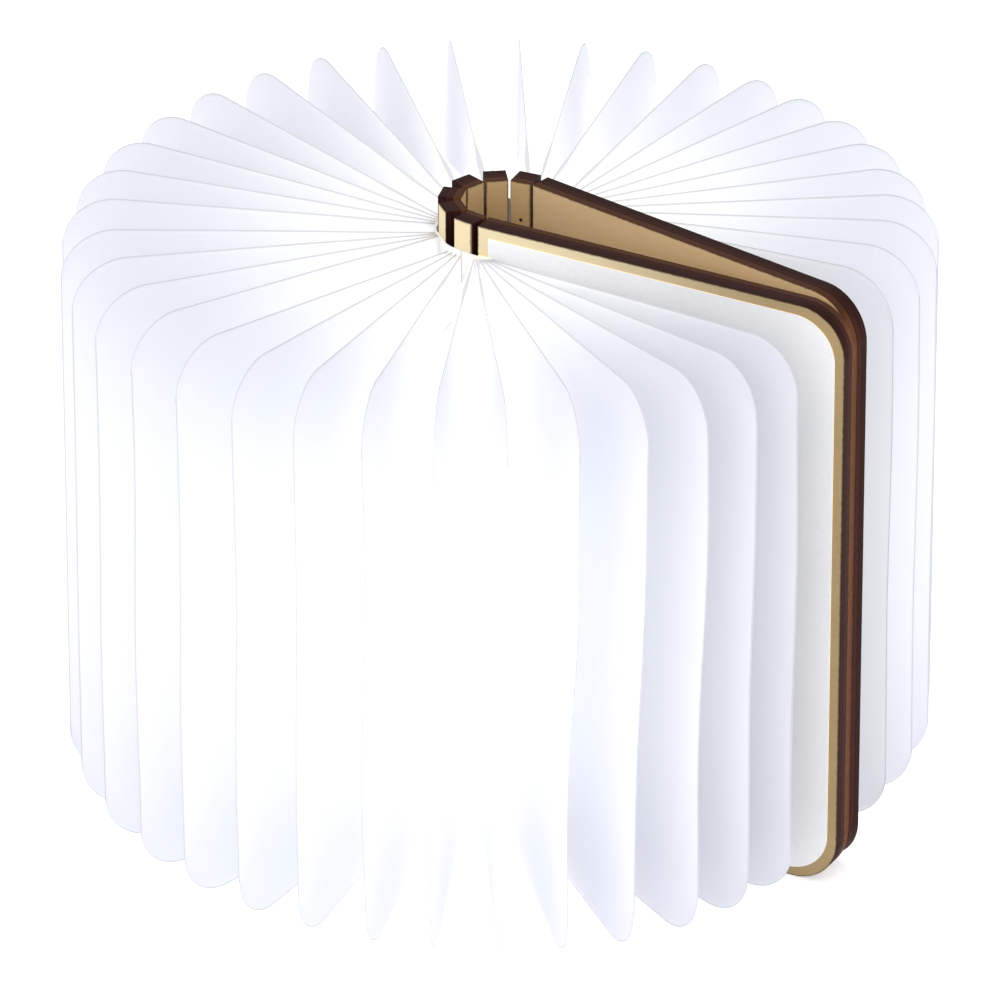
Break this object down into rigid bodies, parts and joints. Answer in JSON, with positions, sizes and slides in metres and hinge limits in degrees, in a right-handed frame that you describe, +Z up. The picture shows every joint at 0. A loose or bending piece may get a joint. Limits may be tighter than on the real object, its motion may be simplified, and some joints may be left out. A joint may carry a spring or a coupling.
{
  "type": "folding book lamp",
  "caption": "Book-shaped folding lamp standing open: plywood covers and a jointed slat spine fold right back, and white paper leaves fan out round a light bar into a lantern.",
  "frame": {"origin": "middle of the open lamp, on the surface that it stands on", "axes": "X from the spine towards the fore edges of the covers, Y towards the back cover's leaves, Z up along the hinges"},
  "size_m": [0.1636, 0.1676, 0.122],
  "materials": {
    "cover_wood": "plywood with laser-charred edges, sealed",
    "slat_wood": "pale plywood, laser-cut",
    "paper": "smooth white moisture-proof paper",
    "lining": "white bonded non-woven fabric",
    "magnet": "nickel-plated magnet",
    "bar_plastic": "white moulded plastic",
    "lid_plastic": "white moulded plastic",
    "board": "white solder mask on laminate",
    "led": "warm phosphor resin",
    "battery_wrap": "shrink film",
    "green_board": "green solder mask on laminate",
    "socket_metal": "plated sheet steel",
    "light_pipe": "clear resin",
    "reed_glass": "clear tube"
  },
  "bodies": {
    "core": {"light_bar": "bar_plastic", "light_bar_lid": "lid_plastic", "led_boards": "board", "leds": "led", "battery": "battery_wrap", "spine_lining": "lining"},
    "front_cover": {"front_cover": "cover_wood", "front_end_paper": "paper", "front_magnets": "magnet"},
    "slat_1": {"slat_1": "slat_wood", "reed_switch": "reed_glass"},
    "slat_2": {"slat_2": "slat_wood"},
    "slat_3": {"slat_3": "slat_wood"},
    "slat_4": {"slat_4": "slat_wood"},
    "slat_5": {"slat_5": "slat_wood"},
    "slat_6": {"slat_6": "slat_wood", "charge_board": "green_board", "usb_socket": "socket_metal", "charge_light": "light_pipe"},
    "back_cover": {"back_cover": "cover_wood", "back_end_paper": "paper", "back_magnets": "magnet"},
    "page_01": {"page_01": "paper"},
    "page_02": {"page_02": "paper"},
    "page_03": {"page_03": "paper"},
    "page_04": {"page_04": "paper"},
    "page_05": {"page_05": "paper"},
    "page_06": {"page_06": "paper"},
    "page_07": {"page_07": "paper"},
    "page_08": {"page_08": "paper"},
    "page_09": {"page_09": "paper"},
    "page_10": {"page_10": "paper"},
    "page_11": {"page_11": "paper"},
    "page_12": {"page_12": "paper"},
    "page_13": {"page_13": "paper"},
    "page_14": {"page_14": "paper"},
    "page_15": {"page_15": "paper"},
    "page_16": {"page_16": "paper"},
    "page_17": {"page_17": "paper"},
    "page_18": {"page_18": "paper"},
    "page_19": {"page_19": "paper"},
    "page_20": {"page_20": "paper"},
    "page_21": {"page_21": "paper"},
    "page_22": {"page_22": "paper"},
    "page_23": {"page_23": "paper"},
    "page_24": {"page_24": "paper"},
    "page_25": {"page_25": "paper"},
    "page_26": {"page_26": "paper"},
    "page_27": {"page_27": "paper"},
    "page_28": {"page_28": "paper"},
    "page_29": {"page_29": "paper"},
    "page_30": {"page_30": "paper"},
    "page_31": {"page_31": "paper"},
    "page_32": {"page_32": "paper"},
    "page_33": {"page_33": "paper"},
    "page_34": {"page_34": "paper"},
    "page_35": {"page_35": "paper"},
    "page_36": {"page_36": "paper"},
    "page_37": {"page_37": "paper"}
  },
  "joints": [
    {"name": "spine_fold", "type": "hinge", "parent": "core", "child": "slat_3", "pos_m": [-0.00866, 0.00097, 0.061], "axis": [0, 0, -1], "range_deg": [0, 32.5], "deforming": ["spine_lining"]},
    {"name": "slat_2_fold", "type": "hinge", "parent": "slat_3", "child": "slat_2", "pos_m": [-0.00686, -0.00475, 0.061], "axis": [0, 0, -1], "range_deg": [0, 63.5]},
    {"name": "slat_1_fold", "type": "hinge", "parent": "slat_2", "child": "slat_1", "pos_m": [-0.00219, -0.00853, 0.061], "axis": [0, 0, -1], "range_deg": [0, 61.5]},
    {"name": "front_cover_fold", "type": "hinge", "parent": "slat_1", "child": "front_cover", "pos_m": [0.00338, -0.00926, 0.061], "axis": [0, 0, -1], "range_deg": [0, 25.5]},
    {"name": "slat_4_fold", "type": "hinge", "parent": "core", "child": "slat_4", "pos_m": [-0.00866, 0.00097, 0.061], "axis": [0, 0, 1], "range_deg": [0, 32.5]},
    {"name": "slat_5_fold", "type": "hinge", "parent": "slat_4", "child": "slat_5", "pos_m": [-0.00686, 0.00669, 0.061], "axis": [0, 0, 1], "range_deg": [0, 63.5]},
    {"name": "slat_6_fold", "type": "hinge", "parent": "slat_5", "child": "slat_6", "pos_m": [-0.00219, 0.01047, 0.061], "axis": [0, 0, 1], "range_deg": [0, 61.5]},
    {"name": "back_cover_fold", "type": "hinge", "parent": "slat_6", "child": "back_cover", "pos_m": [0.00338, 0.0112, 0.061], "axis": [0, 0, 1], "range_deg": [0, 31]},
    {"name": "page_01_turn", "type": "hinge", "parent": "front_cover", "child": "page_01", "pos_m": [0.00735, -0.01186, 0.061], "axis": [0, 0, 1], "range_deg": [0, 8.84]},
    {"name": "page_02_turn", "type": "hinge", "parent": "front_cover", "child": "page_02", "pos_m": [0.00686, -0.01216, 0.061], "axis": [0, 0, 1], "range_deg": [0, 17.99]},
    {"name": "page_03_turn", "type": "hinge", "parent": "front_cover", "child": "page_03", "pos_m": [0.00638, -0.01247, 0.061], "axis": [0, 0, 1], "range_deg": [0, 27.29]},
    {"name": "page_04_turn", "type": "hinge", "parent": "front_cover", "child": "page_04", "pos_m": [0.00589, -0.01277, 0.061], "axis": [0, 0, 1], "range_deg": [0, 36.74]},
    {"name": "page_05_turn", "type": "hinge", "parent": "front_cover", "child": "page_05", "pos_m": [0.00541, -0.01308, 0.061], "axis": [0, 0, 1], "range_deg": [0, 46.38]},
    {"name": "page_06_turn", "type": "hinge", "parent": "front_cover", "child": "page_06", "pos_m": [0.00492, -0.01339, 0.061], "axis": [0, 0, 1], "range_deg": [0, 56.22]},
    {"name": "page_07_turn", "type": "hinge", "parent": "front_cover", "child": "page_07", "pos_m": [0.00444, -0.01369, 0.061], "axis": [0, 0, 1], "range_deg": [0, 66.27]},
    {"name": "page_08_turn", "type": "hinge", "parent": "slat_1", "child": "page_08", "pos_m": [0.00138, -0.01354, 0.061], "axis": [0, 0, 1], "range_deg": [0, 49.13]},
    {"name": "page_09_turn", "type": "hinge", "parent": "slat_1", "child": "page_09", "pos_m": [0.00036, -0.0134, 0.061], "axis": [0, 0, 1], "range_deg": [0, 59.05]},
    {"name": "page_10_turn", "type": "hinge", "parent": "slat_1", "child": "page_10", "pos_m": [-0.00067, -0.01327, 0.061], "axis": [0, 0, 1], "range_deg": [0, 69.1]},
    {"name": "page_11_turn", "type": "hinge", "parent": "slat_1", "child": "page_11", "pos_m": [-0.00169, -0.01313, 0.061], "axis": [0, 0, 1], "range_deg": [0, 79.29]},
    {"name": "page_12_turn", "type": "hinge", "parent": "slat_2", "child": "page_12", "pos_m": [-0.00666, -0.00864, 0.061], "axis": [0, 0, 1], "range_deg": [0, 24.07]},
    {"name": "page_13_turn", "type": "hinge", "parent": "slat_2", "child": "page_13", "pos_m": [-0.00705, -0.00833, 0.061], "axis": [0, 0, 1], "range_deg": [0, 34.67]},
    {"name": "page_14_turn", "type": "hinge", "parent": "slat_2", "child": "page_14", "pos_m": [-0.00744, -0.00801, 0.061], "axis": [0, 0, 1], "range_deg": [0, 45.44]},
    {"name": "page_15_turn", "type": "hinge", "parent": "slat_2", "child": "page_15", "pos_m": [-0.00783, -0.0077, 0.061], "axis": [0, 0, 1], "range_deg": [0, 56.36]},
    {"name": "page_16_turn", "type": "hinge", "parent": "slat_3", "child": "page_16", "pos_m": [-0.01001, -0.00438, 0.061], "axis": [0, 0, 1], "range_deg": [0, 1.39]},
    {"name": "page_17_turn", "type": "hinge", "parent": "slat_3", "child": "page_17", "pos_m": [-0.01027, -0.00357, 0.061], "axis": [0, 0, 1], "range_deg": [0, 12.59]},
    {"name": "page_18_turn", "type": "hinge", "parent": "slat_3", "child": "page_18", "pos_m": [-0.01053, -0.00276, 0.061], "axis": [0, 0, 1], "range_deg": [0, 23.85]},
    {"name": "page_19_turn", "type": "hinge", "parent": "slat_3", "child": "page_19", "pos_m": [-0.01078, -0.00195, 0.061], "axis": [0, 0, 1], "range_deg": [0, 35.13]},
    {"name": "page_20_turn", "type": "hinge", "parent": "slat_3", "child": "page_20", "pos_m": [-0.01104, -0.00114, 0.061], "axis": [0, 0, 1], "range_deg": [0, 46.44]},
    {"name": "page_21_turn", "type": "hinge", "parent": "slat_4", "child": "page_21", "pos_m": [-0.01101, 0.00318, 0.061], "axis": [0, 0, -1], "range_deg": [0, 9.7]},
    {"name": "page_22_turn", "type": "hinge", "parent": "slat_4", "child": "page_22", "pos_m": [-0.01056, 0.00461, 0.061], "axis": [0, 0, 1], "range_deg": [0, 1.58]},
    {"name": "page_23_turn", "type": "hinge", "parent": "slat_4", "child": "page_23", "pos_m": [-0.0101, 0.00604, 0.061], "axis": [0, 0, 1], "range_deg": [0, 12.85]},
    {"name": "page_24_turn", "type": "hinge", "parent": "slat_5", "child": "page_24", "pos_m": [-0.00728, 0.01008, 0.061], "axis": [0, 0, -1], "range_deg": [0, 42.1]},
    {"name": "page_25_turn", "type": "hinge", "parent": "slat_6", "child": "page_25", "pos_m": [-0.00139, 0.01587, 0.061], "axis": [0, 0, -1], "range_deg": [0, 98.72]},
    {"name": "page_26_turn", "type": "hinge", "parent": "slat_6", "child": "page_26", "pos_m": [-0.0003, 0.01601, 0.061], "axis": [0, 0, -1], "range_deg": [0, 87.95]},
    {"name": "page_27_turn", "type": "hinge", "parent": "slat_6", "child": "page_27", "pos_m": [0.00079, 0.01616, 0.061], "axis": [0, 0, -1], "range_deg": [0, 77.26]},
    {"name": "page_28_turn", "type": "hinge", "parent": "back_cover", "child": "page_28", "pos_m": [0.00498, 0.01634, 0.061], "axis": [0, 0, -1], "range_deg": [0, 100.33]},
    {"name": "page_29_turn", "type": "hinge", "parent": "back_cover", "child": "page_29", "pos_m": [0.00544, 0.01599, 0.061], "axis": [0, 0, -1], "range_deg": [0, 89.31]},
    {"name": "page_30_turn", "type": "hinge", "parent": "back_cover", "child": "page_30", "pos_m": [0.00589, 0.01564, 0.061], "axis": [0, 0, -1], "range_deg": [0, 78.46]},
    {"name": "page_31_turn", "type": "hinge", "parent": "back_cover", "child": "page_31", "pos_m": [0.00634, 0.01529, 0.061], "axis": [0, 0, -1], "range_deg": [0, 67.84]},
    {"name": "page_32_turn", "type": "hinge", "parent": "back_cover", "child": "page_32", "pos_m": [0.0068, 0.01494, 0.061], "axis": [0, 0, -1], "range_deg": [0, 57.46]},
    {"name": "page_33_turn", "type": "hinge", "parent": "back_cover", "child": "page_33", "pos_m": [0.00725, 0.01459, 0.061], "axis": [0, 0, -1], "range_deg": [0, 47.34]},
    {"name": "page_34_turn", "type": "hinge", "parent": "back_cover", "child": "page_34", "pos_m": [0.0077, 0.01424, 0.061], "axis": [0, 0, -1], "range_deg": [0, 37.45]},
    {"name": "page_35_turn", "type": "hinge", "parent": "back_cover", "child": "page_35", "pos_m": [0.00816, 0.01389, 0.061], "axis": [0, 0, -1], "range_deg": [0, 27.79]},
    {"name": "page_36_turn", "type": "hinge", "parent": "back_cover", "child": "page_36", "pos_m": [0.00861, 0.01354, 0.061], "axis": [0, 0, -1], "range_deg": [0, 18.34]},
    {"name": "page_37_turn", "type": "hinge", "parent": "back_cover", "child": "page_37", "pos_m": [0.00906, 0.01319, 0.061], "axis": [0, 0, -1], "range_deg": [0, 9.09]}
  ],
  "couplings": [
    {"joint": "slat_2_fold", "follows": "spine_fold", "ratio": 1.9538},
    {"joint": "slat_1_fold", "follows": "spine_fold", "ratio": 1.8923},
    {"joint": "front_cover_fold", "follows": "spine_fold", "ratio": 0.78462},
    {"joint": "slat_4_fold", "follows": "spine_fold", "ratio": 1},
    {"joint": "slat_5_fold", "follows": "spine_fold", "ratio": 1.9538},
    {"joint": "slat_6_fold", "follows": "spine_fold", "ratio": 1.8923},
    {"joint": "back_cover_fold", "follows": "spine_fold", "ratio": 0.95385},
    {"joint": "page_01_turn", "follows": "spine_fold", "ratio": 0.2721},
    {"joint": "page_02_turn", "follows": "spine_fold", "ratio": 0.55355},
    {"joint": "page_03_turn", "follows": "spine_fold", "ratio": 0.83955},
    {"joint": "page_04_turn", "follows": "spine_fold", "ratio": 1.1306},
    {"joint": "page_05_turn", "follows": "spine_fold", "ratio": 1.427},
    {"joint": "page_06_turn", "follows": "spine_fold", "ratio": 1.7298},
    {"joint": "page_07_turn", "follows": "spine_fold", "ratio": 2.0391},
    {"joint": "page_08_turn", "follows": "spine_fold", "ratio": 1.5116},
    {"joint": "page_09_turn", "follows": "spine_fold", "ratio": 1.817},
    {"joint": "page_10_turn", "follows": "spine_fold", "ratio": 2.1262},
    {"joint": "page_11_turn", "follows": "spine_fold", "ratio": 2.4398},
    {"joint": "page_12_turn", "follows": "spine_fold", "ratio": 0.74051},
    {"joint": "page_13_turn", "follows": "spine_fold", "ratio": 1.0666},
    {"joint": "page_14_turn", "follows": "spine_fold", "ratio": 1.3982},
    {"joint": "page_15_turn", "follows": "spine_fold", "ratio": 1.7343},
    {"joint": "page_16_turn", "follows": "spine_fold", "ratio": 0.042874},
    {"joint": "page_17_turn", "follows": "spine_fold", "ratio": 0.38746},
    {"joint": "page_18_turn", "follows": "spine_fold", "ratio": 0.7337},
    {"joint": "page_19_turn", "follows": "spine_fold", "ratio": 1.0811},
    {"joint": "page_20_turn", "follows": "spine_fold", "ratio": 1.429},
    {"joint": "page_21_turn", "follows": "spine_fold", "ratio": 0.29848},
    {"joint": "page_22_turn", "follows": "spine_fold", "ratio": 0.048692},
    {"joint": "page_23_turn", "follows": "spine_fold", "ratio": 0.39543},
    {"joint": "page_24_turn", "follows": "spine_fold", "ratio": 1.2953},
    {"joint": "page_25_turn", "follows": "spine_fold", "ratio": 3.0374},
    {"joint": "page_26_turn", "follows": "spine_fold", "ratio": 2.706},
    {"joint": "page_27_turn", "follows": "spine_fold", "ratio": 2.3773},
    {"joint": "page_28_turn", "follows": "spine_fold", "ratio": 3.087},
    {"joint": "page_29_turn", "follows": "spine_fold", "ratio": 2.7479},
    {"joint": "page_30_turn", "follows": "spine_fold", "ratio": 2.4143},
    {"joint": "page_31_turn", "follows": "spine_fold", "ratio": 2.0875},
    {"joint": "page_32_turn", "follows": "spine_fold", "ratio": 1.7681},
    {"joint": "page_33_turn", "follows": "spine_fold", "ratio": 1.4565},
    {"joint": "page_34_turn", "follows": "spine_fold", "ratio": 1.1524},
    {"joint": "page_35_turn", "follows": "spine_fold", "ratio": 0.85522},
    {"joint": "page_36_turn", "follows": "spine_fold", "ratio": 0.56441},
    {"joint": "page_37_turn", "follows": "spine_fold", "ratio": 0.27966}
  ]
}
